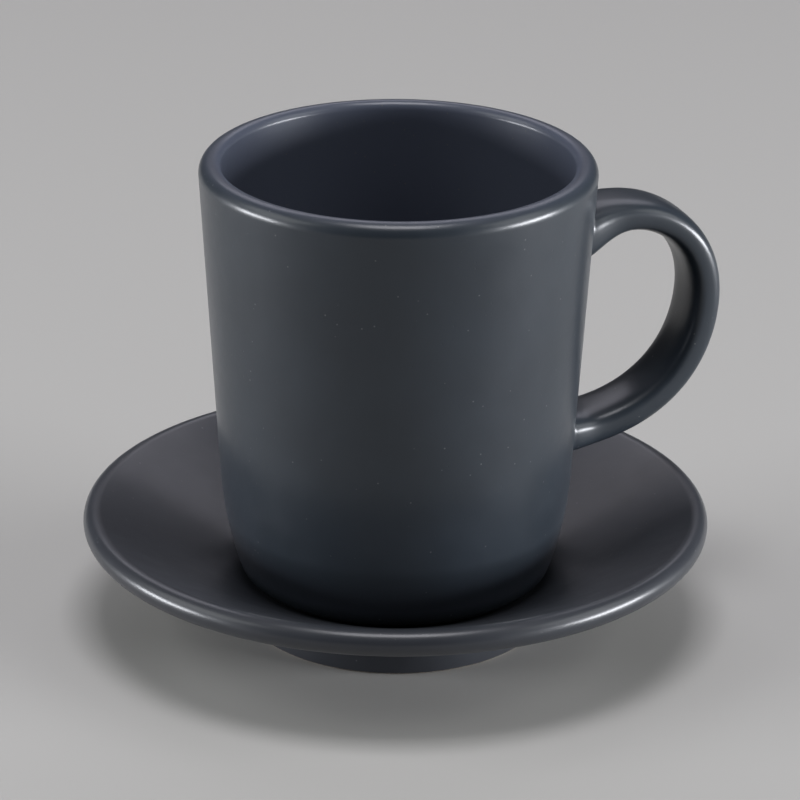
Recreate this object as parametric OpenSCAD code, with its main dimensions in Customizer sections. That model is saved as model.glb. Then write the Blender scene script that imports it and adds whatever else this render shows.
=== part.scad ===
// Espresso cup standing in the well of its saucer, in dark glazed stoneware.
// Millimetres, +Z up, the handle points along +X, and the saucer stands on z = 0.

/* [Cup] */
// Radius of the mouth at the outside of the lip
mouth_r = 32; // [30:0.5:34]
// Height of the cup from its foot to its lip
cup_h = 71.4; // [66:0.2:78]
// Thickness of the wall
wall = 3.6; // [3:0.1:4.2]
// Lean of the straight wall, in degrees from upright
wall_lean = 3.6; // [2.5:0.1:4.5]
// Outer rounding of the lip
lip_r = 2.2; // [1.6:0.1:2.6]
// Height above the foot where the straight wall starts to draw in
belly_z = 17.6; // [14:0.2:18]
// Radius of the long curve that draws the wall in to the foot
belly_r = 60; // [50:1:80]
// Rounding between the wall and the foot
corner_r = 3; // [2.4:0.1:3.6]
// Thickness of the floor
cup_floor = 5; // [4:0.1:6]
// Rounding between the inner wall and the floor
bowl_r = 9; // [7:0.5:11]
// Width of the ring that the cup stands on
cup_ring_w = 3; // [2:0.1:4]
// Depth of the recess inside that ring
cup_recess = 1.2; // [0.8:0.1:2]

/* [Handle] */
// Reach of the handle from the cup's axis
handle_reach = 55.4; // [52:0.2:58]
// Height of the furthest point of the bow above the foot
bow_z = 43.6; // [40:0.2:46]
// Height above the foot where the top of the handle leaves the wall
top_z = 60.8; // [58:0.2:62]
// Height above the foot where the underside of the handle meets the wall
bottom_z = 18.4; // [18.2:0.2:22]
// Rise of the top of the handle as it leaves the wall, in degrees
top_rise = 10.2; // [0:0.2:14]
// Rise of the underside as it leaves the wall, in degrees
bottom_rise = 3.8; // [0:0.2:10]
// Width of the strap
strap_w = 11.4; // [10:0.2:13]
// Thickness of the strap at its top end
strap_top_t = 4.9; // [4.2:0.1:5.6]
// Thickness of the strap at its bottom end
strap_bottom_t = 5.9; // [5:0.1:6.6]
// Extra depth of the strap under its top end
root_depth = 3.9; // [2:0.1:5]
// Extra depth of the strap over its bottom end
heel_depth = 0.8; // [0:0.1:2]
// Extra width on each side of the strap at the wall
root_w = 1.3; // [0.4:0.1:2]

/* [Saucer] */
// Radius of the saucer
saucer_r = 51.4; // [49:0.2:56]
// Thickness of the saucer's plate, which is also the depth of its round edge
saucer_t = 4.2; // [3.6:0.1:4.8]
// Slope of the dish, in degrees
dish_slope = 25; // [20:0.1:28]
// Height of the well that the cup stands in
well_z = 8.2; // [7:0.1:10]
// Play between the cup's foot and the curve of the well, at the radius
well_play = 0.8; // [0.5:0.1:2]
// Radius of the curve between the well and the dish
well_r = 3; // [2:0.5:8]
// Radius of the saucer's foot at the outside
foot_r = 24.6; // [23:0.2:28]
// Width of the ring that the saucer stands on
foot_ring_w = 2.8; // [2:0.1:4]
// Rounding of both foot rings' edges
foot_edge_r = 0.6; // [0.3:0.1:0.8]

/* [Hidden] */

$fn = 144;
glaze = [0.20, 0.21, 0.24];
handle_glaze = [0.25, 0.26, 0.29];
saucer_glaze = [0.17, 0.18, 0.21];

// Steps in each rounded stretch of an outline
arc_steps = 10;

// Lengths of the handle's control arms, one pair for each half of the loop
top_arm = 16.1;
bow_top_arm = 10.4;
bow_bottom_arm = 11;
bottom_arm = 19.6;
// How far from the wall each swelling of the strap has died away
root_reach = 4.3;
heel_reach = 2.7;
side_reach = 3.1;
// How far from the wall the sections turn square to the strap
turn_reach = 5;
// How boxy the strap's section is: 2 is an ellipse, more is squarer
section_power = 3;
// How quickly a swelling dies away
swell_power = 1.5;
// How closely the strap's sections crowd together towards the wall: 1 is evenly spaced
step_power = 1.5;
// Sections in each half of the loop, corners of a section, and rings in each end's patch
path_steps = 22;
strap_sides = 32;
cap_steps = 4;

// The axis stands off the origin, so that the origin is under the middle of the whole
axis_x = (saucer_r - handle_reach) / 2;

// The cup's outside, from the mouth down
lip_in_r = wall - lip_r;
lip_z = cup_h - lip_r;
function wall_at(z) = mouth_r - (lip_z - z) * tan(wall_lean);
belly_c = [wall_at(belly_z) - belly_r * cos(wall_lean), belly_z + belly_r * sin(wall_lean)];
corner_c = [
    belly_c.x + sqrt(pow(belly_r - corner_r, 2) - pow(belly_c.y - corner_r, 2)),
    corner_r
];
corner_turn = atan2(corner_c.y - belly_c.y, corner_c.x - belly_c.x);
cup_foot_r = corner_c.x;

// The cup's inside
bowl_z = cup_floor + bowl_r;
bowl_c = [wall_at(bowl_z) - wall - bowl_r / cos(wall_lean), bowl_z];

// The saucer's dish, between the well's curve and the round edge
edge_r = saucer_t / 2;
well_floor_r = cup_foot_r + well_play;
well_curve_c = [well_floor_r, well_z + well_r];
dish_start = well_curve_c + well_r * [sin(dish_slope), -cos(dish_slope)];
edge_r_in = saucer_r - edge_r;
dish_end_r = edge_r_in - edge_r * sin(dish_slope);
dish_end_z = dish_start.y + (dish_end_r - dish_start.x) * tan(dish_slope);
edge_c = [edge_r_in, dish_end_z - edge_r * cos(dish_slope)];
// The underside runs parallel to the dish
under_start = edge_c + edge_r * [sin(dish_slope), -cos(dish_slope)];
function under_at(r) = under_start.y - (under_start.x - r) * tan(dish_slope);
foot_in_r = foot_r - foot_ring_w;
foot_roof_z = well_z - saucer_t;

function unit(v) = v / norm(v);
function arc(c, r, from, to) =
    [for (i = [0:arc_steps]) let (a = from + (to - from) * i / arc_steps) c + r * [cos(a), sin(a)]];

// Outlines

function cup_outside() = concat(
    arc(corner_c, corner_r, -90, corner_turn),
    arc(belly_c, belly_r, corner_turn, -wall_lean),
    arc([mouth_r - lip_r, lip_z], lip_r, 0, 90)
);

function cup_inside() = concat(
    arc([mouth_r - wall + lip_in_r, cup_h - lip_in_r], lip_in_r, 90, 180),
    arc(bowl_c, bowl_r, -wall_lean, -90)
);

function cup_underside() = [
    [0, cup_floor],
    [0, cup_recess],
    [cup_foot_r - cup_ring_w - cup_recess, cup_recess],
    [cup_foot_r - cup_ring_w - foot_edge_r / 2, foot_edge_r / 2],
    [cup_foot_r - cup_ring_w, 0]
];

function saucer_top() = concat(
    [[0, well_z]],
    arc(well_curve_c, well_r, -90, dish_slope - 90),
    arc(edge_c, edge_r, 90 + dish_slope, dish_slope - 90)
);

function saucer_underside() = concat(
    [[foot_r, under_at(foot_r)]],
    arc([foot_r - foot_edge_r, foot_edge_r], foot_edge_r, 0, -90),
    arc([foot_in_r + foot_edge_r, foot_edge_r], foot_edge_r, -90, -180),
    [[foot_in_r, foot_roof_z], [0, foot_roof_z]]
);

// Handle

function bezier(a, b, c, d, t) =
    pow(1 - t, 3) * a + 3 * pow(1 - t, 2) * t * b + 3 * (1 - t) * t * t * c + pow(t, 3) * d;

top_end = [wall_at(top_z), top_z];
bow = [handle_reach, bow_z];
bottom_end = [wall_at(bottom_z), bottom_z];
top_way = [cos(top_rise), sin(top_rise)];
bottom_way = [cos(bottom_rise), sin(bottom_rise)];

// The strap's outer edge, out from the wall to the bow and back to the wall
function upper_edge(t) =
    bezier(top_end, top_end + top_arm * top_way, bow + [0, bow_top_arm], bow, t);
function lower_edge(t) =
    bezier(bow, bow - [0, bow_bottom_arm], bottom_end + bottom_arm * bottom_way, bottom_end, t);
edge_path = concat(
    [for (i = [0:path_steps]) upper_edge(pow(i / path_steps, step_power))],
    [for (i = [1:path_steps]) lower_edge(1 - pow(1 - i / path_steps, step_power))]
);
last = len(edge_path) - 1;

function fade(d, reach) = exp(-pow(d / reach, swell_power));
function from_top(i) = norm(edge_path[i] - top_end);
function from_bottom(i) = norm(edge_path[i] - bottom_end);

function strap_t(i) = strap_top_t + (strap_bottom_t - strap_top_t) * i / last
    + root_depth * fade(from_top(i), root_reach)
    + heel_depth * fade(from_bottom(i), heel_reach);
function strap_half_w(i) = strap_w / 2
    + root_w * (fade(from_top(i), side_reach) + fade(from_bottom(i), side_reach));

// Way from the outer edge into the loop: along the wall at both ends, square to the edge between
wall_way = [-sin(wall_lean), -cos(wall_lean)];
function along(i) = unit(edge_path[min(i + 1, last)] - edge_path[max(i - 1, 0)]);
function square_in(i) = let (a = along(i)) [a.y, -a.x];
function turn_in(d) = exp(-pow(d / turn_reach, 2));
function way_in(i) = let (t = turn_in(from_top(i)), b = turn_in(from_bottom(i)))
    unit((1 - t - b) * square_in(i) + (t - b) * wall_way);

// Rounded-box section: c and s are a cosine and a sine
function boxy(v) = sign(v) * pow(abs(v), 2 / section_power);
function section_point(i, a) = let (p = edge_path[i] + way_in(i) * strap_t(i) * (1 - boxy(cos(a))) / 2)
    [p.x, strap_half_w(i) * boxy(sin(a)), p.y];
function on_wall(p) = [sqrt(pow(wall_at(p.z), 2) - pow(p.y, 2)), p.y, p.z];
function ring(i) = [for (k = [0:strap_sides - 1]) section_point(i, 360 * k / strap_sides)];

// Each end is a patch that follows the round of the wall
function end_centre(i) = let (p = edge_path[i] + way_in(i) * strap_t(i) / 2) [p.x, 0, p.y];
function end_ring(i, share) = let (c = end_centre(i)) [for (p = ring(i)) on_wall(c + share * (p - c))];

strap_rings = concat(
    [for (k = [1:cap_steps]) end_ring(0, k / cap_steps)],
    [for (i = [1:last - 1]) ring(i)],
    [for (k = [0:cap_steps - 1]) end_ring(last, 1 - k / cap_steps)]
);
ring_count = len(strap_rings);
strap_points = concat(
    [for (r = strap_rings) for (p = r) p],
    [on_wall(end_centre(0)), on_wall(end_centre(last))]
);
start_point = ring_count * strap_sides;

function strap_side_faces() = [
    for (i = [0:ring_count - 2])
        for (k = [0:strap_sides - 1])
            let (
                a = i * strap_sides + k,
                b = i * strap_sides + (k + 1) % strap_sides,
                c = a + strap_sides,
                d = b + strap_sides
            )
            for (f = [[a, b, d], [a, d, c]]) f
];
function strap_end_faces() = [
    for (k = [0:strap_sides - 1])
        let (next = (k + 1) % strap_sides, far = (ring_count - 1) * strap_sides)
        for (f = [[start_point, next, k], [start_point + 1, far + k, far + next]]) f
];

module on_axis(z) {
    translate([axis_x, 0, z]) children();
}

module saucer() {
    color(saucer_glaze)
        on_axis(0)
            rotate_extrude() polygon(concat(saucer_top(), saucer_underside()));
}

module cup_body() {
    color(glaze)
        on_axis(well_z)
            rotate_extrude() polygon(concat(cup_outside(), cup_inside(), cup_underside()));
}

module cup_handle() {
    color(handle_glaze)
        on_axis(well_z)
            polyhedron(points = strap_points, faces = concat(strap_side_faces(), strap_end_faces()));
}

saucer();
cup_body();
cup_handle();
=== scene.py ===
"""Espresso cup standing in the well of its saucer, in a dark satin glaze.

Metres, +Z up, and the handle points along +X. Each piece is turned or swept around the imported
model, which gives its place, and then dressed in its finish.
"""

import logging
import math
from dataclasses import dataclass, field
from enum import Enum
from typing import Iterable, Sequence

import bmesh
import bpy
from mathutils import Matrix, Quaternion, Vector


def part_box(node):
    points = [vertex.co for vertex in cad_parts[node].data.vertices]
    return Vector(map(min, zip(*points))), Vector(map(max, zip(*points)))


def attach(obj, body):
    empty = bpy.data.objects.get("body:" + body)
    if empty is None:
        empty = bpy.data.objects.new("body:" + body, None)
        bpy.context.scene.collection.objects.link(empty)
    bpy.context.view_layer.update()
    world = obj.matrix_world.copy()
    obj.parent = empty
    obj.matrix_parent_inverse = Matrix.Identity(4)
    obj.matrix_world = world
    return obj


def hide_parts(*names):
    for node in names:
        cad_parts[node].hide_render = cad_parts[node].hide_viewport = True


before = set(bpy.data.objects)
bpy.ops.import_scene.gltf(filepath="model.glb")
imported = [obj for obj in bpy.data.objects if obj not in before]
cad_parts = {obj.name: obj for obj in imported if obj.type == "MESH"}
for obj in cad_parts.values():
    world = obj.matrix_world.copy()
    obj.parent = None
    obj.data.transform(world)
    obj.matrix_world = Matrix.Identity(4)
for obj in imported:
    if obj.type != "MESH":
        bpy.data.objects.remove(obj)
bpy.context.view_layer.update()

MM = 0.001
LOG = logging.getLogger("cup_and_saucer")

# Points that lie closer together than this are one point
SAME = 0.001 * MM
# A face this near to the foot's height, at its middle, is part of the flat ring
FLAT = 0.25 * MM
# Nearly all of a noise pattern lies between these two greys
MIDTONES = (0.3, 0.7)
# How much weaker each finer layer of a noise pattern is than the one before
NOISE_FALL = 0.55
# The colour sockets of a mix node, by number, because their names are shared
MIX_FIRST, MIX_SECOND, MIX_RESULT = 6, 7, 2

Triple = tuple[float, float, float]
Colour = tuple[float, float, float]
Point = tuple[float, float]


class Body(Enum):
    """What a piece moves with."""

    SAUCER = "saucer"
    CUP = "cup"


class Slot(Enum):
    """The finish that a piece can be repainted in."""

    CUP = "cup_glaze"
    SAUCER = "saucer_glaze"


# Finishes


class NodeSketch:
    """A material's node tree, drawn one node at a time."""

    def __init__(self, tree: bpy.types.NodeTree) -> None:
        """Starts from an empty tree.

        Args:
            tree: the node tree to draw in.
        """
        self.tree = tree
        tree.nodes.clear()

    def add(self, kind: str, inputs: dict | None = None, **settings: object) -> bpy.types.Node:
        """Adds a node.

        Args:
            kind: the node's type.
            inputs: a value or another node's output for each input, by name or number.
            settings: the node's own properties.

        Returns:
            The new node.
        """
        node = self.tree.nodes.new(kind)
        for key, value in settings.items():
            setattr(node, key, value)
        for key, value in (inputs or {}).items():
            if isinstance(value, bpy.types.NodeSocket):
                self.tree.links.new(value, node.inputs[key])
            else:
                node.inputs[key].default_value = value
        return node

    def noise(
        self, place: bpy.types.NodeSocket, size: float, detail: float = 3.0
    ) -> bpy.types.NodeSocket:
        """Adds a noise pattern.

        Args:
            place: the coordinates that it is laid on.
            size: how wide its clouds are, in metres.
            detail: how many finer layers it has.

        Returns:
            Its grey value.
        """
        inputs = {"Vector": place, "Scale": 1 / size, "Detail": detail, "Roughness": NOISE_FALL}
        return self.add("ShaderNodeTexNoise", inputs).outputs["Fac"]

    def spread(
        self, value: bpy.types.NodeSocket, source: Point, target: Point = (0, 1)
    ) -> bpy.types.NodeSocket:
        """Stretches a grey value from one range to another, and stops at its ends.

        Args:
            value: the value.
            source: the range that it comes from.
            target: the range that it goes to.

        Returns:
            The stretched value.
        """
        inputs = {"Value": value, 1: source[0], 2: source[1], 3: target[0], 4: target[1]}
        return self.add("ShaderNodeMapRange", inputs).outputs["Result"]

    def work(
        self, kind: str, a: bpy.types.NodeSocket, b: bpy.types.NodeSocket | float
    ) -> bpy.types.NodeSocket:
        """Works out one operation on two values.

        Args:
            kind: the operation's name.
            a: the first value.
            b: the second value.

        Returns:
            The result.
        """
        return self.add("ShaderNodeMath", {0: a, 1: b}, operation=kind).outputs["Value"]

    def mix(
        self,
        share: bpy.types.NodeSocket,
        first: bpy.types.NodeSocket | Colour,
        second: bpy.types.NodeSocket | Colour,
    ) -> bpy.types.NodeSocket:
        """Mixes two colours.

        Args:
            share: how much of the second colour there is.
            first: a colour, or another node's output.
            second: a colour, or another node's output.

        Returns:
            The mixed colour.
        """
        inputs = {"Factor": share}
        for key, shade in ((MIX_FIRST, first), (MIX_SECOND, second)):
            inputs[key] = shade if isinstance(shade, bpy.types.NodeSocket) else (*shade, 1)
        return self.add("ShaderNodeMix", inputs, data_type="RGBA").outputs[MIX_RESULT]


def start_material(name: str) -> tuple[bpy.types.Material, NodeSketch]:
    """Starts a material.

    Args:
        name: its name.

    Returns:
        The material, and the sketch to draw its nodes in.
    """
    made = bpy.data.materials.new(name)
    made.use_nodes = True
    return made, NodeSketch(made.node_tree)


@dataclass(frozen=True)
class PaintedInsideLight:
    """The inside of the cup, painted paler and bluer than the glaze outside: painted light for the
    light that falls into the cup.

    Attributes:
        foot: the foot of the cup's axis.
        radius: the radius of the middle of the wall at the foot's height.
        slant: how much the wall widens for each unit of height.
        colour: the painted colour of the inside, paler and bluer for the light that falls into it.
        blend: how far to each side of the wall's middle the two glazes run together.
        floor: the heights between which it sets in above the foot.
    """

    foot: Vector
    radius: float
    slant: float
    # Painted light: the inside is painted paler and bluer than the outside glaze, for the light
    # that falls into the cup
    colour: Colour = (0.069, 0.079, 0.108)
    blend: float = 1.3 * MM
    floor: tuple[float, float] = (2.2 * MM, 3.6 * MM)

    def mask(self, sketch: NodeSketch, place: bpy.types.NodeSocket) -> bpy.types.NodeSocket:
        """Finds the inside of the cup, where the painted light goes.

        Args:
            sketch: the tree to draw in.
            place: the coordinates.

        Returns:
            A mask that is 1 inside, and fades across the top of the lip.
        """
        from_foot = sketch.add(
            "ShaderNodeVectorMath", {0: place, 1: self.foot}, operation="SUBTRACT"
        )
        parts = sketch.add("ShaderNodeSeparateXYZ", {"Vector": from_foot.outputs["Vector"]}).outputs
        flat = sketch.add("ShaderNodeCombineXYZ", {"X": parts["X"], "Y": parts["Y"]})
        radius = sketch.add(
            "ShaderNodeVectorMath", {0: flat.outputs["Vector"]}, operation="LENGTH"
        ).outputs["Value"]
        widening = sketch.work("MULTIPLY", parts["Z"], self.slant)
        out = sketch.work("SUBTRACT", sketch.work("SUBTRACT", radius, self.radius), widening)
        inside = sketch.spread(out, (-self.blend, self.blend), (1, 0))
        above = sketch.spread(parts["Z"], self.floor)
        return sketch.work("MULTIPLY", inside, above)


@dataclass(frozen=True)
class SatinGlaze:
    """A dark satin glaze with clouds of tone, a fine grain, and a few pits and pale specks.

    A thin, smoother layer lies over it.

    Attributes:
        name: the material's name.
        deep: its colour where it lies thick.
        thin: its colour where it lies thin.
        smooth: its roughness in the smoothest clouds.
        rough: its roughness in the roughest clouds.
        painted_inside_light: the painted light inside the cup, if there is an inside.
        ior: its index of refraction.
        cloud: how wide its clouds of tone are.
        sheen_cloud: how wide its clouds of roughness are, as a share of the clouds of tone.
        grain: how wide its grain is.
        grain_depth: how deep its grain is.
        ripple: how wide the waves of its surface are.
        ripple_depth: how deep they are.
        coat: how much of the smoother layer lies over it.
        coat_roughness: the roughness of that layer.
        speck_gap: how far apart the places are that may hold a speck or a pit.
        speck_share: how many of these places hold one.
        speck_size: how wide a speck or a pit is, as a share of the gap.
        speck_core: how much of a speck's width has its full colour.
        speck_colour: the colour of a speck.
        pit_depth: how deep a pit is.
        pit_shift: how far the pits lie from the specks.
    """

    name: str
    deep: Colour
    thin: Colour
    painted_inside_light: PaintedInsideLight | None = None
    smooth: float = 0.37
    rough: float = 0.43
    ior: float = 1.4
    cloud: float = 14 * MM
    sheen_cloud: float = 0.4
    grain: float = 0.35 * MM
    grain_depth: float = 0.008 * MM
    ripple: float = 3.5 * MM
    ripple_depth: float = 0.02 * MM
    coat: float = 0.38
    coat_roughness: float = 0.22
    speck_gap: float = 1.6 * MM
    speck_share: float = 0.25
    speck_size: float = 0.11
    speck_core: float = 0.5
    speck_colour: Colour = (0.10, 0.105, 0.11)
    pit_depth: float = 0.02 * MM
    pit_shift: Triple = (0.5, 0.3, 0.7)

    def dots(self, sketch: NodeSketch, place: bpy.types.NodeSocket) -> bpy.types.NodeSocket:
        """Scatters a few round dots.

        Args:
            sketch: the tree to draw in.
            place: the coordinates that they are laid on.

        Returns:
            A mask that is 1 in a dot.
        """
        cells = sketch.add("ShaderNodeTexVoronoi", {"Vector": place, "Scale": 1 / self.speck_gap})
        chance = sketch.add("ShaderNodeSeparateColor", {"Color": cells.outputs["Color"]})
        edge = (self.speck_size * self.speck_core, self.speck_size)
        near = sketch.spread(cells.outputs["Distance"], edge, (1, 0))
        chosen = sketch.work("LESS_THAN", chance.outputs["Red"], self.speck_share)
        return sketch.work("MULTIPLY", near, chosen)

    def material(self) -> bpy.types.Material:
        """Makes the glaze.

        Returns:
            The material.
        """
        made, sketch = start_material(self.name)
        place = sketch.add("ShaderNodeTexCoord").outputs["Object"]
        clouds = sketch.spread(sketch.noise(place, self.cloud), MIDTONES)
        tone = sketch.mix(clouds, self.deep, self.thin)
        # The inside of the cup is painted paler and bluer, as painted light for the light that
        # falls into it
        if self.painted_inside_light:
            tone = sketch.mix(self.painted_inside_light.mask(sketch, place), tone, self.painted_inside_light.colour)
        speckled = sketch.mix(self.dots(sketch, place), tone, self.speck_colour)
        sheen_clouds = sketch.noise(place, self.cloud * self.sheen_cloud, detail=4.0)
        roughness = sketch.spread(sheen_clouds, MIDTONES, (self.smooth, self.rough))

        ripple = sketch.noise(place, self.ripple, detail=1.0)
        grain = sketch.noise(place, self.grain, detail=2.0)
        shift = sketch.add("ShaderNodeVectorMath", {0: place, 1: self.pit_shift}, operation="ADD")
        pits = self.dots(sketch, shift.outputs["Vector"])
        rolling = sketch.add("ShaderNodeBump", {"Distance": self.ripple_depth, "Height": ripple})
        grainy = sketch.add(
            "ShaderNodeBump",
            {"Distance": self.grain_depth, "Height": grain, "Normal": rolling.outputs["Normal"]},
        )
        pitted = sketch.add(
            "ShaderNodeBump",
            {"Distance": self.pit_depth, "Height": pits, "Normal": grainy.outputs["Normal"]},
            invert=True,
        )
        shader = sketch.add(
            "ShaderNodeBsdfPrincipled",
            {
                "Base Color": speckled,
                "Roughness": roughness,
                "IOR": self.ior,
                "Coat Weight": self.coat,
                "Coat Roughness": self.coat_roughness,
                "Normal": pitted.outputs["Normal"],
                "Coat Normal": rolling.outputs["Normal"],
            },
        )
        sketch.add("ShaderNodeOutputMaterial", {"Surface": shader.outputs["BSDF"]})
        return made


@dataclass(frozen=True)
class BareClay:
    """The fired clay of a foot ring, wiped free of glaze.

    Attributes:
        name: the material's name.
        pale: its colour.
        dark: the colour of its sand.
        sand: how wide the grains of sand are.
        sand_depth: how deep they are.
        sand_tones: the greys of the pattern between which the sand gives way to the clay.
        roughness: its roughness.
    """

    name: str
    pale: Colour = (0.34, 0.30, 0.25)
    dark: Colour = (0.16, 0.13, 0.11)
    sand: float = 0.5 * MM
    sand_depth: float = 0.02 * MM
    sand_tones: Point = (0.35, 0.65)
    roughness: float = 0.85

    def material(self) -> bpy.types.Material:
        """Makes the clay.

        Returns:
            The material.
        """
        made, sketch = start_material(self.name)
        place = sketch.add("ShaderNodeTexCoord").outputs["Object"]
        sand = sketch.noise(place, self.sand, detail=4.0)
        tone = sketch.mix(sketch.spread(sand, self.sand_tones), self.dark, self.pale)
        bump = sketch.add("ShaderNodeBump", {"Distance": self.sand_depth, "Height": sand})
        shader = sketch.add(
            "ShaderNodeBsdfPrincipled",
            {"Base Color": tone, "Roughness": self.roughness, "Normal": bump.outputs["Normal"]},
        )
        sketch.add("ShaderNodeOutputMaterial", {"Surface": shader.outputs["BSDF"]})
        return made


# Ways of making a shape


@dataclass
class TurnedOutline:
    """Half the outline of a turned piece, drawn from point to point and revolved about its axis.

    Attributes:
        axis: the foot of the axis.
        pitch: how long the lengths are that a straight stretch is cut into.
        turns: how many steps a full turn has.
        mesh: the mesh that it is drawn in.
        tip: the last point drawn.
    """

    axis: Vector
    pitch: float = 2.5 * MM
    turns: int = 192
    mesh: bmesh.types.BMesh = field(default_factory=bmesh.new)
    tip: bmesh.types.BMVert | None = None

    def at(self, point: Point) -> Vector:
        """Gives the place of a point of the outline.

        Args:
            point: its radius and its height.

        Returns:
            The place.
        """
        return self.axis + Vector((point[0], 0, point[1]))

    def start(self, point: Point) -> None:
        """Puts the pen down.

        Args:
            point: the radius and the height of the first point.
        """
        self.tip = self.mesh.verts.new(self.at(point))

    def line(self, point: Point) -> None:
        """Draws a straight stretch, in short lengths.

        Args:
            point: the radius and the height where it ends.
        """
        way = self.at(point) - self.tip.co
        if way.length < SAME:
            return
        count = max(1, round(way.length / self.pitch))
        for _ in range(count):
            self.tip = bmesh.ops.extrude_vert_indiv(self.mesh, verts=[self.tip])["verts"][0]
            bmesh.ops.translate(self.mesh, verts=[self.tip], vec=way / count)

    def arc(self, centre: Point, radius: float, start: float, stop: float, cuts: int) -> None:
        """Draws a round stretch, after a straight one to where it begins.

        Args:
            centre: the radius and the height of its centre.
            radius: its own radius.
            start: the angle at which it begins, in degrees up from outwards.
            stop: the angle at which it ends.
            cuts: how many lengths it has.
        """
        angle = math.radians(start)
        self.line((centre[0] + radius * math.cos(angle), centre[1] + radius * math.sin(angle)))
        made = bmesh.ops.spin(
            self.mesh,
            geom=[self.tip],
            cent=self.at(centre),
            axis=(0, -1, 0),
            angle=math.radians(stop - start),
            steps=cuts,
        )
        self.tip = made["geom_last"][0]

    def revolve(self) -> bmesh.types.BMesh:
        """Turns the outline about its axis.

        Returns:
            The closed surface.
        """
        bmesh.ops.spin(
            self.mesh,
            geom=self.mesh.verts[:] + self.mesh.edges[:],
            cent=self.axis,
            axis=(0, 0, 1),
            angle=math.tau,
            steps=self.turns,
            use_merge=True,
        )
        bmesh.ops.remove_doubles(self.mesh, verts=self.mesh.verts, dist=SAME)
        bmesh.ops.recalc_face_normals(self.mesh, faces=self.mesh.faces)
        return self.mesh


class Tube:
    """A skin that is pushed out from one ring of vertices to the next."""

    def __init__(self, sides: int) -> None:
        """Starts with a ring that has no shape yet.

        Args:
            sides: how many corners each ring has.
        """
        self.mesh = bmesh.new()
        self.ring = bmesh.ops.create_circle(self.mesh, segments=sides, radius=MM)["verts"]
        self.placed = False

    def edges(self) -> list[bmesh.types.BMEdge]:
        """Finds the edges of the last ring.

        Returns:
            The edges, in the order of its corners.
        """
        pairs = zip(self.ring, self.ring[1:] + self.ring[:1])
        return [self.mesh.edges.get(pair) for pair in pairs]

    def push(self, places: Iterable[Vector]) -> None:
        """Pushes the skin on to its next ring.

        Args:
            places: where each corner of that ring lies.
        """
        if self.placed:
            made = bmesh.ops.extrude_edge_only(self.mesh, edges=self.edges())["geom"]
            new = {v for v in made if isinstance(v, bmesh.types.BMVert)}
            neighbours = ([e.other_vert(v) for e in v.link_edges] for v in self.ring)
            self.ring = [next(v for v in near if v in new) for near in neighbours]
        self.placed = True
        for corner, place in zip(self.ring, places):
            corner.co = place

    def close(self) -> bmesh.types.BMesh:
        """Closes both ends.

        Returns:
            The closed surface.
        """
        rims = [e for e in self.mesh.edges if e.is_boundary]
        caps = bmesh.ops.holes_fill(self.mesh, edges=rims, sides=len(self.ring))["faces"]
        bmesh.ops.poke(self.mesh, faces=caps)
        bmesh.ops.recalc_face_normals(self.mesh, faces=self.mesh.faces)
        return self.mesh


def make_piece(
    name: str,
    mesh: bmesh.types.BMesh,
    finishes: Iterable[bpy.types.Material],
    body: Body,
    node: str,
) -> bpy.types.Object:
    """Makes an object of a finished mesh, hangs it on the body that it moves with, and hides the
    part that it stands for.

    Args:
        name: the piece's name.
        mesh: its surface, in place.
        finishes: its materials, in the order of its faces' numbers.
        body: what it moves with.
        node: the node that it stands for.

    Returns:
        The new object.
    """
    for face in mesh.faces:
        face.smooth = True
    data = bpy.data.meshes.new(name)
    mesh.to_mesh(data)
    mesh.free()
    for finish in finishes:
        data.materials.append(finish)
    piece = bpy.data.objects.new(name, data)
    bpy.context.scene.collection.objects.link(piece)
    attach(piece, body.value)
    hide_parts(node)
    LOG.info("%s: %d faces, moves with %s", name, len(data.polygons), body.value)
    return piece


def bare_ring(mesh: bmesh.types.BMesh, foot: Vector, inner: float, outer: float) -> None:
    """Gives the flat ring that a piece stands on the second finish.

    Args:
        mesh: the piece's surface.
        foot: the foot of the piece's axis, at the height of that ring.
        inner: its inner radius.
        outer: its outer radius.
    """
    for face in mesh.faces:
        middle = face.calc_center_median() - foot
        radius = math.hypot(middle.x, middle.y)
        if abs(middle.z) < FLAT and inner < radius < outer:
            face.material_index = 1


def bend(arms: Sequence[Vector], t: float) -> Vector:
    """Gives a point of the curve that four arms guide.

    Args:
        arms: where it starts, the two points that pull it, and where it ends.
        t: how far along it the point is, from 0 to 1.

    Returns:
        The point.
    """
    a, b, c, d = arms
    u = 1 - t
    return u**3 * a + 3 * u * u * t * b + 3 * u * t * t * c + t**3 * d


# Sub-assemblies


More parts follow.
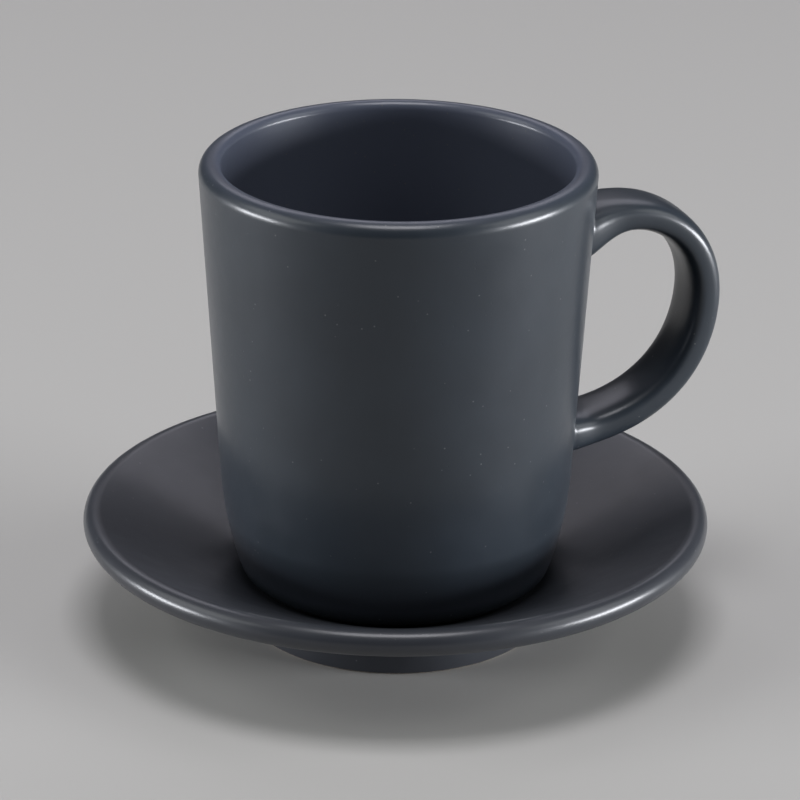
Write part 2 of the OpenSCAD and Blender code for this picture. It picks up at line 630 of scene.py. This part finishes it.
@dataclass
class Saucer:
    """The saucer: a round edge, a straight dish, a well for the cup and a foot ring.

    Attributes:
        radius: its outer radius.
        thickness: how thick it is.
        slope: how much the dish slopes, in degrees.
        well_height: how high the well lies above the table.
        well_play: the room between the cup's foot and the curve around it.
        well_curve: the radius of the curve from the well to the dish.
        foot_radius: the outer radius of the foot ring.
        foot_width: how wide the foot ring is.
        foot_edge: the radius of the foot ring's edges.
        foot_fillet: the radius of the hollow between the foot ring and the underside.
        well_cuts: how many lengths the well's curve has.
        edge_cuts: how many lengths the round edge has.
        foot_cuts: how many lengths each curve of the foot ring has.
    """

    radius: float = 51.4 * MM
    thickness: float = 4.2 * MM
    slope: float = 25
    well_height: float = 8.2 * MM
    well_play: float = 0.8 * MM
    well_curve: float = 3 * MM
    foot_radius: float = 24.6 * MM
    foot_width: float = 2.8 * MM
    foot_edge: float = 0.6 * MM
    foot_fillet: float = 1.2 * MM
    well_cuts: int = 14
    edge_cuts: int = 28
    foot_cuts: int = 6

    def outline(self, axis: Vector, cup_foot: float) -> TurnedOutline:
        """Draws the outline, from the middle of the well out and back under.

        Args:
            axis: the foot of the axis.
            cup_foot: the radius of the cup's foot, which the well takes in.

        Returns:
            The outline.
        """
        tilt = math.radians(self.slope)
        rise, run = math.sin(tilt), math.cos(tilt)
        edge = self.thickness / 2
        curve = (cup_foot + self.well_play, self.well_height + self.well_curve)
        dish_start = (curve[0] + self.well_curve * rise, curve[1] - self.well_curve * run)
        edge_r = self.radius - edge
        dish_end_r = edge_r - edge * rise
        dish_end_z = dish_start[1] + (dish_end_r - dish_start[0]) * math.tan(tilt)
        edge_centre = (edge_r, dish_end_z - edge * run)
        under = (edge_centre[0] + edge * rise, edge_centre[1] - edge * run)

        # The fillet touches the foot's side and the slope of the underside
        fillet_r = self.foot_radius + self.foot_fillet
        under_z = under[1] - (under[0] - fillet_r) * math.tan(tilt)
        fillet = (fillet_r, under_z - self.foot_fillet / run)
        roof = self.well_height - self.thickness
        inner = self.foot_radius - self.foot_width
        small, cuts = self.foot_edge, self.foot_cuts

        drawn = TurnedOutline(axis)
        drawn.start((0, self.well_height))
        drawn.arc(curve, self.well_curve, -90, self.slope - 90, self.well_cuts)
        drawn.arc(edge_centre, edge, 90 + self.slope, self.slope - 90, self.edge_cuts)
        drawn.arc(fillet, self.foot_fillet, 90 + self.slope, 180, cuts)
        drawn.arc((self.foot_radius - small, small), small, 0, -90, cuts)
        drawn.arc((inner + small, small), small, -90, -180, cuts)
        drawn.arc((inner - small, roof - small), small, 0, 90, cuts)
        drawn.line((0, roof))
        return drawn

    def build(
        self,
        axis: Vector,
        cup_foot: float,
        glaze: bpy.types.Material,
        clay: bpy.types.Material,
    ) -> bpy.types.Object:
        """Turns the saucer.

        Args:
            axis: the foot of the axis.
            cup_foot: the radius of the cup's foot.
            glaze: its finish.
            clay: the finish of the face that it stands on.

        Returns:
            The piece.
        """
        mesh = self.outline(axis, cup_foot).revolve()
        bare_ring(mesh, axis, self.foot_radius - self.foot_width, self.foot_radius)
        finishes = (glaze, clay)
        return make_piece("saucer_glazed", mesh, finishes, Body.SAUCER, "saucer")


@dataclass
class CupWall:
    """The cup's leaning wall, which the handle follows too. Heights are above the cup's foot.

    Attributes:
        mouth: the outer radius of the mouth.
        height: the height of the cup.
        lean: how much the wall leans out, in degrees.
        lip: the radius of the lip's outer rounding.
    """

    mouth: float = 32 * MM
    height: float = 71.4 * MM
    lean: float = 3.6
    lip: float = 2.2 * MM

    @property
    def slant(self) -> float:
        """How much the wall widens for each unit of height."""
        return math.tan(math.radians(self.lean))

    def radius(self, z: float) -> float:
        """Gives the outer radius of the straight wall.

        Args:
            z: the height.

        Returns:
            The radius there.
        """
        return self.mouth - (self.height - self.lip - z) * self.slant

    def onto(self, point: Vector, depth: float = 0.0) -> Vector:
        """Moves a point along X to the wall.

        Args:
            point: the point, from the cup's foot.
            depth: how deep in the wall it ends.

        Returns:
            The point on the wall.
        """
        radius = self.radius(point.z) - depth
        return Vector((math.sqrt(radius**2 - point.y**2), point.y, point.z))

    def facing(self, point: Vector) -> Vector:
        """Gives the way that the wall faces.

        Args:
            point: a point on the wall, from the cup's foot.

        Returns:
            The unit vector out of the wall there.
        """
        radius = math.hypot(point.x, point.y)
        return Vector((point.x, point.y, -radius * self.slant)).normalized()


@dataclass
class CupBody:
    """The cup without its handle: wall, lip, bowl and foot ring.

    Attributes:
        wall: the wall.
        thickness: how thick the wall is.
        belly_height: the height below which the wall draws in.
        belly: the radius of the long curve that draws it in.
        corner: the radius of the small curve between the wall and the foot.
        floor: how high the floor lies inside.
        bowl: the radius of the curve from the wall to the floor, inside.
        ring_width: how wide the foot ring is.
        recess: how deep the recess inside the foot ring is.
        ring_edge: the radius of the foot ring's inner edges.
        ring_cuts: how many lengths each inner edge of the foot ring has.
        curve_cuts: how many lengths the corner and the lip's inner rounding each have.
        belly_cuts: how many lengths the long curve has.
        lip_cuts: how many lengths the lip's outer rounding has.
        bowl_cuts: how many lengths the bowl's curve has.
    """

    wall: CupWall
    thickness: float = 3.6 * MM
    belly_height: float = 17.6 * MM
    belly: float = 60 * MM
    corner: float = 3 * MM
    floor: float = 5 * MM
    bowl: float = 9 * MM
    ring_width: float = 3 * MM
    recess: float = 1.2 * MM
    ring_edge: float = 0.4 * MM
    ring_cuts: int = 5
    curve_cuts: int = 14
    belly_cuts: int = 20
    lip_cuts: int = 18
    bowl_cuts: int = 20

    @property
    def belly_centre(self) -> Point:
        """The centre of the long curve that draws the wall in."""
        tilt = math.radians(self.wall.lean)
        radius = self.wall.radius(self.belly_height)
        height = self.belly_height + self.belly * math.sin(tilt)
        return radius - self.belly * math.cos(tilt), height

    @property
    def corner_centre(self) -> Point:
        """The centre of the small curve between the wall and the foot, above the foot's edge."""
        belly = self.belly_centre
        reach = math.sqrt((self.belly - self.corner) ** 2 - (belly[1] - self.corner) ** 2)
        return belly[0] + reach, self.corner

    def outline(self, foot: Vector) -> TurnedOutline:
        """Draws the outline, from the middle of the underside out, up, over the lip and down.

        Args:
            foot: the foot of the cup's axis.

        Returns:
            The outline.
        """
        lean = self.wall.lean
        tilt = math.radians(lean)
        belly, corner = self.belly_centre, self.corner_centre
        turn = math.degrees(math.atan2(corner[1] - belly[1], corner[0] - belly[0]))
        lip, inner_lip = self.wall.lip, self.thickness - self.wall.lip
        lip_r, top = self.wall.mouth - lip, self.wall.height
        bowl_z = self.floor + self.bowl
        inside = self.wall.radius(bowl_z) - self.thickness
        bowl = (inside - self.bowl / math.cos(tilt), bowl_z)
        ring_r = corner[0] - self.ring_width
        edge = self.ring_edge

        drawn = TurnedOutline(foot)
        drawn.start((0, self.recess))
        drawn.arc((ring_r - 2 * edge, self.recess - edge), edge, 90, 0, self.ring_cuts)
        drawn.arc((ring_r, edge), edge, 180, 270, self.ring_cuts)
        drawn.arc(corner, self.corner, -90, turn, self.curve_cuts)
        drawn.arc(belly, self.belly, turn, -lean, self.belly_cuts)
        drawn.arc((lip_r, top - lip), lip, -lean, 90, self.lip_cuts)
        drawn.arc((lip_r, top - inner_lip), inner_lip, 90, 180 - lean, self.curve_cuts)
        drawn.arc(bowl, self.bowl, -lean, -90, self.bowl_cuts)
        drawn.line((0, self.floor))
        return drawn

    def build(
        self, foot: Vector, glaze: bpy.types.Material, clay: bpy.types.Material
    ) -> bpy.types.Object:
        """Turns the cup.

        Args:
            foot: the foot of the cup's axis.
            glaze: its finish.
            clay: the finish of the face that it stands on.

        Returns:
            The piece.
        """
        mesh = self.outline(foot).revolve()
        edge = self.corner_centre[0]
        bare_ring(mesh, foot, edge - self.ring_width, edge)
        return make_piece("cup_glazed", mesh, (glaze, clay), Body.CUP, "cup_body")


@dataclass
class StrapHandle:
    """The strap that bows out from the wall and swells where it meets it again.

    Lengths of the way are shares of it: 0 is the top joint, and 1 is the bottom one. Heights are
    above the cup's foot.

    Attributes:
        wall: the wall that it grows from.
        reach: how far its outer edge reaches from the cup's axis.
        bow_height: the height at which it reaches that far.
        top_height: the height at which its outer edge leaves the wall.
        bottom_height: the height at which its outer edge comes back.
        top_rise: how much it rises as it leaves the wall, in degrees.
        bottom_rise: how much it rises from the wall at its lower end, in degrees.
        width: how wide the strap is.
        top_thickness: how thick it is at the top.
        bottom_thickness: how thick it is at the bottom.
        root_depth: how much thicker it swells at the top joint.
        heel_depth: how much thicker it swells at the bottom joint.
        root_width: how much wider it swells at each side of both joints.
        arms: the lengths of the four arms that bend its outer edge, from the top down.
        root_reach: how far the top joint's swelling reaches.
        heel_reach: how far the bottom joint's swelling reaches.
        side_reach: how far the swelling of the width reaches.
        turn_reach: how far the section stays turned to the wall.
        turn_power: how sharply that turn ends.
        boxiness: how boxy the section is, where 2 is an ellipse.
        fillet: how far the hollow around a joint reaches.
        fillet_pull: how strongly its two ends pull on its curve, as a share of its reach.
        sink: how deep the rim of that hollow lies in the wall.
        root: how much further its skin goes on into the wall.
        sides: how many corners the section has.
        stations: how many lengths the strap is cut into.
        spread: how the lengths crowd towards the joints, where 1 is evenly.
        fillet_cuts: how many lengths the hollow has.
        search: the share of the strap from each end in which the hollow's end is looked for.
        halvings: how many times that share is halved.
        nudge: a small share of the strap, which shows which way it goes on.
    """

    wall: CupWall
    reach: float = 55.4 * MM
    bow_height: float = 43.6 * MM
    top_height: float = 60.8 * MM
    bottom_height: float = 18.4 * MM
    top_rise: float = 10.2
    bottom_rise: float = 3.8
    width: float = 11.4 * MM
    top_thickness: float = 4.9 * MM
    bottom_thickness: float = 5.9 * MM
    root_depth: float = 3.9 * MM
    heel_depth: float = 0.8 * MM
    root_width: float = 1.3 * MM
    arms: tuple[float, float, float, float] = (16.1 * MM, 10.4 * MM, 11 * MM, 19.6 * MM)
    root_reach: float = 4.3 * MM
    heel_reach: float = 2.7 * MM
    side_reach: float = 3.1 * MM
    turn_reach: float = 5 * MM
    turn_power: float = 2
    boxiness: float = 3
    fillet: float = 1.0 * MM
    fillet_pull: float = 0.55
    sink: float = 0.05 * MM
    root: float = 0.6 * MM
    sides: int = 64
    stations: int = 110
    spread: float = 1.5
    fillet_cuts: int = 8
    search: float = 0.25
    halvings: int = 30
    nudge: float = 1e-4

    def __post_init__(self) -> None:
        """Places the four arms that guide each half of the strap's outer edge."""
        rise, fall = math.radians(self.top_rise), math.radians(self.bottom_rise)
        self.top = Vector((self.wall.radius(self.top_height), self.top_height))
        self.bow = Vector((self.reach, self.bow_height))
        self.bottom = Vector((self.wall.radius(self.bottom_height), self.bottom_height))
        top_arm = self.top + self.arms[0] * Vector((math.cos(rise), math.sin(rise)))
        bottom_arm = self.bottom + self.arms[3] * Vector((math.cos(fall), math.sin(fall)))
        up, down = Vector((0, self.arms[1])), Vector((0, -self.arms[2]))
        self.halves = (
            (self.top, top_arm, self.bow + up, self.bow),
            (self.bow, self.bow + down, bottom_arm, self.bottom),
        )

    def edge(self, share: float) -> tuple[Vector, Vector]:
        """Gives a place on the strap's outer edge.

        Args:
            share: how far along the strap it is.

        Returns:
            The place, as a radius and a height, and the way on from there.
        """
        if share <= 0.5:
            t, arms = (2 * share) ** self.spread, self.halves[0]
        else:
            t, arms = 1 - (2 - 2 * share) ** self.spread, self.halves[1]
        a, b, c, d = arms
        u = 1 - t
        way = u * u * (b - a) + 2 * u * t * (c - b) + t * t * (d - c)
        return bend(arms, t), way.normalized()

    @staticmethod
    def fade(distance: float, reach: float, power: float = 1.5) -> float:
        """Gives how much of a swelling is left.

        Args:
            distance: how far from the joint it is looked at.
            reach: how far it reaches.
            power: how sharply it ends.

        Returns:
            The share that is left.
        """
        return math.exp(-((distance / reach) ** power))

    @staticmethod
    def boxy(value: float, power: float) -> float:
        """Bends a cosine or sine so that an ellipse becomes a rounded box.

        Args:
            value: the cosine or sine.
            power: how boxy the shape is.

        Returns:
            The bent value.
        """
        return math.copysign(abs(value) ** (2 / power), value)

    def section(self, share: float, angle: float) -> Vector:
        """Gives a point on the strap's skin.

        Args:
            share: how far along the strap it is.
            angle: how far round the section it is, from the outer edge.

        Returns:
            The point, from the cup's foot.
        """
        place, way = self.edge(share)
        top_gap, bottom_gap = (place - self.top).length, (place - self.bottom).length
        depth = self.top_thickness + (self.bottom_thickness - self.top_thickness) * share
        depth += self.root_depth * self.fade(top_gap, self.root_reach)
        depth += self.heel_depth * self.fade(bottom_gap, self.heel_reach)
        swelling = self.fade(top_gap, self.side_reach) + self.fade(bottom_gap, self.side_reach)
        half = self.width / 2 + self.root_width * swelling
        lean = math.radians(self.wall.lean)
        down = Vector((-math.sin(lean), -math.cos(lean)))
        top_turn = self.fade(top_gap, self.turn_reach, self.turn_power)
        bottom_turn = self.fade(bottom_gap, self.turn_reach, self.turn_power)
        square = Vector((way.y, -way.x))
        inward = (1 - top_turn - bottom_turn) * square + (top_turn - bottom_turn) * down
        across = self.boxy(math.cos(angle), self.boxiness)
        point = place + inward.normalized() * depth * (1 - across) / 2
        return Vector((point.x, half * self.boxy(math.sin(angle), self.boxiness), point.y))

    def leave_wall(self, angle: float, end: float) -> float:
        """Finds where the fillet gives way to the strap.

        Args:
            angle: how far round the section the line runs.
            end: the end of the strap, 0 or 1.

        Returns:
            How far along the strap that place is.
        """
        start = self.wall.onto(self.section(end, angle))
        near, far = end, abs(end - self.search)
        for _ in range(self.halvings):
            middle = (near + far) / 2
            if (self.section(middle, angle) - start).length < self.fillet:
                near = middle
            else:
                far = middle
        return far

    def joint(self, angle: float, end: float) -> list[Vector]:
        """Draws one line of the fillet, from inside the wall out to the strap.

        Args:
            angle: how far round the section the line runs.
            end: the end of the strap, 0 or 1.

        Returns:
            The points of the line.
        """
        share = self.leave_wall(angle, end)
        step = self.nudge if end == 0 else -self.nudge
        leave = self.section(share, angle)
        away = (self.section(share + step, angle) - leave).normalized()
        corner = self.wall.onto(self.section(end, angle))
        centre = self.wall.onto((self.section(end, 0) + self.section(end, math.pi)) / 2)
        facing = self.wall.facing(corner)
        out = corner - centre
        out = (out - facing * out.dot(facing)).normalized()
        rim = self.wall.onto(corner + out * self.fillet, self.sink)
        pull = self.fillet_pull * self.fillet
        arms = (rim, rim - out * pull, leave - away * pull, leave)
        hollow = [bend(arms, i / self.fillet_cuts) for i in range(self.fillet_cuts + 1)]
        return [rim - facing * self.root] + hollow

    def build(self, foot: Vector, glaze: bpy.types.Material) -> bpy.types.Object:
        """Sweeps the strap.

        Args:
            foot: the foot of the cup's axis.
            glaze: its finish.

        Returns:
            The piece.
        """
        angles = [math.tau * k / self.sides for k in range(self.sides)]
        lines = []
        for angle in angles:
            first, last = self.leave_wall(angle, 0), self.leave_wall(angle, 1)
            steps = range(1, self.stations)
            shares = [first + (last - first) * i / self.stations for i in steps]
            middle = [self.section(share, angle) for share in shares]
            lines.append(self.joint(angle, 0) + middle + self.joint(angle, 1)[::-1])
        tube = Tube(self.sides)
        for places in zip(*lines):
            tube.push(foot + place for place in places)
        mesh = tube.close()
        return make_piece("handle_glazed", mesh, (glaze,), Body.CUP, "cup_handle")


# Studio


@dataclass(frozen=True)
class Softbox:
    """A soft light, placed by its direction from the cup.

    Attributes:
        name: its name.
        azimuth: its direction in degrees, 0 towards the camera and 90 to the camera's right.
        elevation: its height in degrees.
        distance: how far away it is.
        size: its width and height.
        power: its power in watts.
        colour: its colour.
    """

    name: str
    azimuth: float
    elevation: float
    distance: float
    size: Point
    power: float
    colour: Colour = (1, 1, 1)


@dataclass
class Studio:
    """The floor, the lights, the surroundings and the camera.

    Attributes:
        azimuth: the direction that the camera looks from, in degrees about the cup's axis.
        elevation: how far it looks down, in degrees.
        distance: how far it stands from what it is turned to.
        lens: its focal length, in millimetres.
        sensor: the width of its sensor, in millimetres.
        roll: how much it is tilted, in radians.
        shift: how much its frame is shifted.
        clip: the nearest and the farthest that it sees.
        aim_height: the height on the axis that it is turned to.
        floor_radius: the radius of the floor.
        floor_sides: how many corners the floor has.
        floor_colour: the floor's colour, as the camera and the glaze see it.
        bounce_colour: the floor's colour for the light that it scatters back.
        floor_roughness: the floor's roughness.
        floor_shine: how much the floor shines.
        near_colour: the room's colour behind the camera.
        far_colour: the room's colour behind the cup.
        room_fade: where one gives way to the other, from -1 behind the camera to 1 behind the cup.
        backdrop_colour: the room's colour, as the camera sees it.
        lights: the lights.
    """

    azimuth: float = -19.5
    elevation: float = 22.1
    distance: float = 700 * MM
    lens: float = 193.14
    sensor: float = 36
    roll: float = 0.009
    shift: Point = (0.00425, -0.018175)
    clip: Point = (0.01, 50)
    aim_height: float = 40.45 * MM
    floor_radius: float = 6.0
    floor_sides: int = 96
    floor_colour: Colour = (0.465, 0.457, 0.436)
    bounce_colour: Colour = (0.1, 0.1, 0.1)
    floor_roughness: float = 0.9
    floor_shine: float = 0.1
    near_colour: Colour = (0.01, 0.01, 0.011)
    far_colour: Colour = (0.05, 0.05, 0.055)
    room_fade: Point = (-0.5, 0.3)
    backdrop_colour: Colour = (0.42, 0.42, 0.42)
    lights: tuple[Softbox, ...] = (
        Softbox("overhead", 0, 84, 1.2, (0.54, 0.5), 6.9, (0.99, 0.985, 1.04)),
        Softbox("behind", 180, 42, 1.4, (1.17, 0.57), 3.4, (0.98, 0.96, 1.08)),
        Softbox("left_low", -85, 4, 1.0, (0.48, 0.2), 9, (0.975, 0.995, 1.045)),
        Softbox("left_high", -84, 38, 1.2, (0.84, 0.52), 3.2, (0.98, 1.0, 1.0)),
        Softbox("right_low", 79, 4, 1.0, (0.54, 0.2), 14, (0.975, 0.995, 1.045)),
        Softbox("right_high", 80, 38, 1.2, (0.72, 0.48), 2.6, (0.98, 1.0, 1.0)),
    )

    def direction(self, azimuth: float, elevation: float) -> Vector:
        """Gives a direction.

        Args:
            azimuth: degrees, 0 towards the camera and 90 to the camera's right.
            elevation: degrees above level.

        Returns:
            The unit vector.
        """
        turn, up = math.radians(self.azimuth + azimuth), math.radians(elevation)
        level = math.cos(up)
        return Vector((math.sin(turn) * level, -math.cos(turn) * level, math.sin(up)))

    def floor(self) -> bpy.types.Object:
        """Lays the floor.

        Returns:
            The floor.
        """
        mesh = bmesh.new()
        bmesh.ops.create_circle(
            mesh, cap_ends=True, segments=self.floor_sides, radius=self.floor_radius
        )
        data = bpy.data.meshes.new("floor")
        mesh.to_mesh(data)
        mesh.free()
        paper, sketch = start_material("floor_paper")
        ray = sketch.add("ShaderNodeLightPath").outputs
        mirrored = sketch.work("MAXIMUM", ray["Is Glossy Ray"], ray["Is Transmission Ray"])
        seen = sketch.work("MAXIMUM", ray["Is Camera Ray"], mirrored)
        colour = sketch.mix(seen, self.bounce_colour, self.floor_colour)
        shader = sketch.add(
            "ShaderNodeBsdfPrincipled",
            {
                "Base Color": colour,
                "Roughness": self.floor_roughness,
                "Specular IOR Level": self.floor_shine,
            },
        )
        sketch.add("ShaderNodeOutputMaterial", {"Surface": shader.outputs["BSDF"]})
        data.materials.append(paper)
        floor = bpy.data.objects.new("floor", data)
        bpy.context.scene.collection.objects.link(floor)
        return floor

    def surroundings(self) -> None:
        """Makes the room: dark where the camera stands, pale behind and beside the cup."""
        world = bpy.data.worlds.new("studio")
        bpy.context.scene.world = world
        world.use_nodes = True
        sketch = NodeSketch(world.node_tree)
        way = sketch.add("ShaderNodeTexCoord").outputs["Generated"]
        away = -self.direction(0, 0)
        facing = sketch.add("ShaderNodeVectorMath", {0: way, 1: away}, operation="DOT_PRODUCT")
        share = sketch.spread(facing.outputs["Value"], self.room_fade)
        room = sketch.mix(share, self.near_colour, self.far_colour)
        seen = sketch.add("ShaderNodeLightPath").outputs["Is Camera Ray"]
        colour = sketch.mix(seen, room, self.backdrop_colour)
        light = sketch.add("ShaderNodeBackground", {"Color": colour, "Strength": 1.0})
        sketch.add("ShaderNodeOutputWorld", {"Surface": light.outputs["Background"]})

    def hang(self, box: Softbox, target: Vector) -> None:
        """Hangs a light.

        Args:
            box: the light.
            target: what it is aimed at.
        """
        lamp = bpy.data.lights.new(box.name, "AREA")
        lamp.shape = "RECTANGLE"
        lamp.size, lamp.size_y = box.size
        lamp.energy = box.power
        lamp.color = box.colour
        placed = bpy.data.objects.new(box.name, lamp)
        way = self.direction(box.azimuth, box.elevation)
        placed.location = target + way * box.distance
        placed.rotation_mode = "QUATERNION"
        placed.rotation_quaternion = way.to_track_quat("Z", "Y")
        bpy.context.scene.collection.objects.link(placed)

    def camera(self, target: Vector) -> None:
        """Sets up the camera.

        Args:
            target: the point that it is turned to.
        """
        data = bpy.data.cameras.new("camera")
        data.sensor_width = self.sensor
        data.lens = self.lens
        data.shift_x, data.shift_y = self.shift
        data.clip_start, data.clip_end = self.clip
        camera = bpy.data.objects.new("camera", data)
        back = self.direction(0, self.elevation)
        camera.location = target + back * self.distance
        camera.rotation_mode = "QUATERNION"
        tilt = Quaternion((0, 0, 1), self.roll)
        camera.rotation_quaternion = back.to_track_quat("Z", "Y") @ tilt
        bpy.context.scene.collection.objects.link(camera)
        bpy.context.scene.camera = camera

    def build(self, axis: Vector) -> None:
        """Sets up the whole studio.

        Args:
            axis: the foot of the cup's axis on the floor.
        """
        self.floor()
        self.surroundings()
        target = axis + Vector((0, 0, self.aim_height))
        for box in self.lights:
            self.hang(box, target)
        self.camera(target)
        bpy.context.scene.view_settings.view_transform = "Standard"
        LOG.info("studio: %d lights", len(self.lights))


def main() -> None:
    """Builds the saucer, the cup and its handle, and the studio around them."""
    logging.basicConfig(level=logging.INFO, format="%(message)s")
    low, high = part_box("saucer")
    axis = Vector(((low.x + high.x) / 2, 0, low.z))
    foot = Vector((axis.x, 0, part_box("cup_body")[0].z))

    wall = CupWall()
    cup = CupBody(wall)
    # The cup's inside gets a paler, bluer painted colour, standing in for the light that falls into
    # it
    painted_inside_light = PaintedInsideLight(foot, wall.radius(0) - cup.thickness / 2, wall.slant)
    cup_glaze = SatinGlaze(
        "satin_glaze_cup",
        deep=(0.019, 0.025, 0.0325),
        thin=(0.0235, 0.0308, 0.040),
        painted_inside_light=painted_inside_light,
    ).material()
    saucer_glaze = SatinGlaze(
        "satin_glaze_saucer",
        deep=(0.0265, 0.029, 0.035),
        thin=(0.0325, 0.036, 0.043),
    ).material()
    clay = BareClay("bare_clay").material()

    Saucer().build(axis, cup.corner_centre[0], saucer_glaze, clay)
    cup.build(foot, cup_glaze, clay)
    StrapHandle(wall).build(foot, cup_glaze)
    Studio().build(axis)


if __name__ == "__main__":
    main()
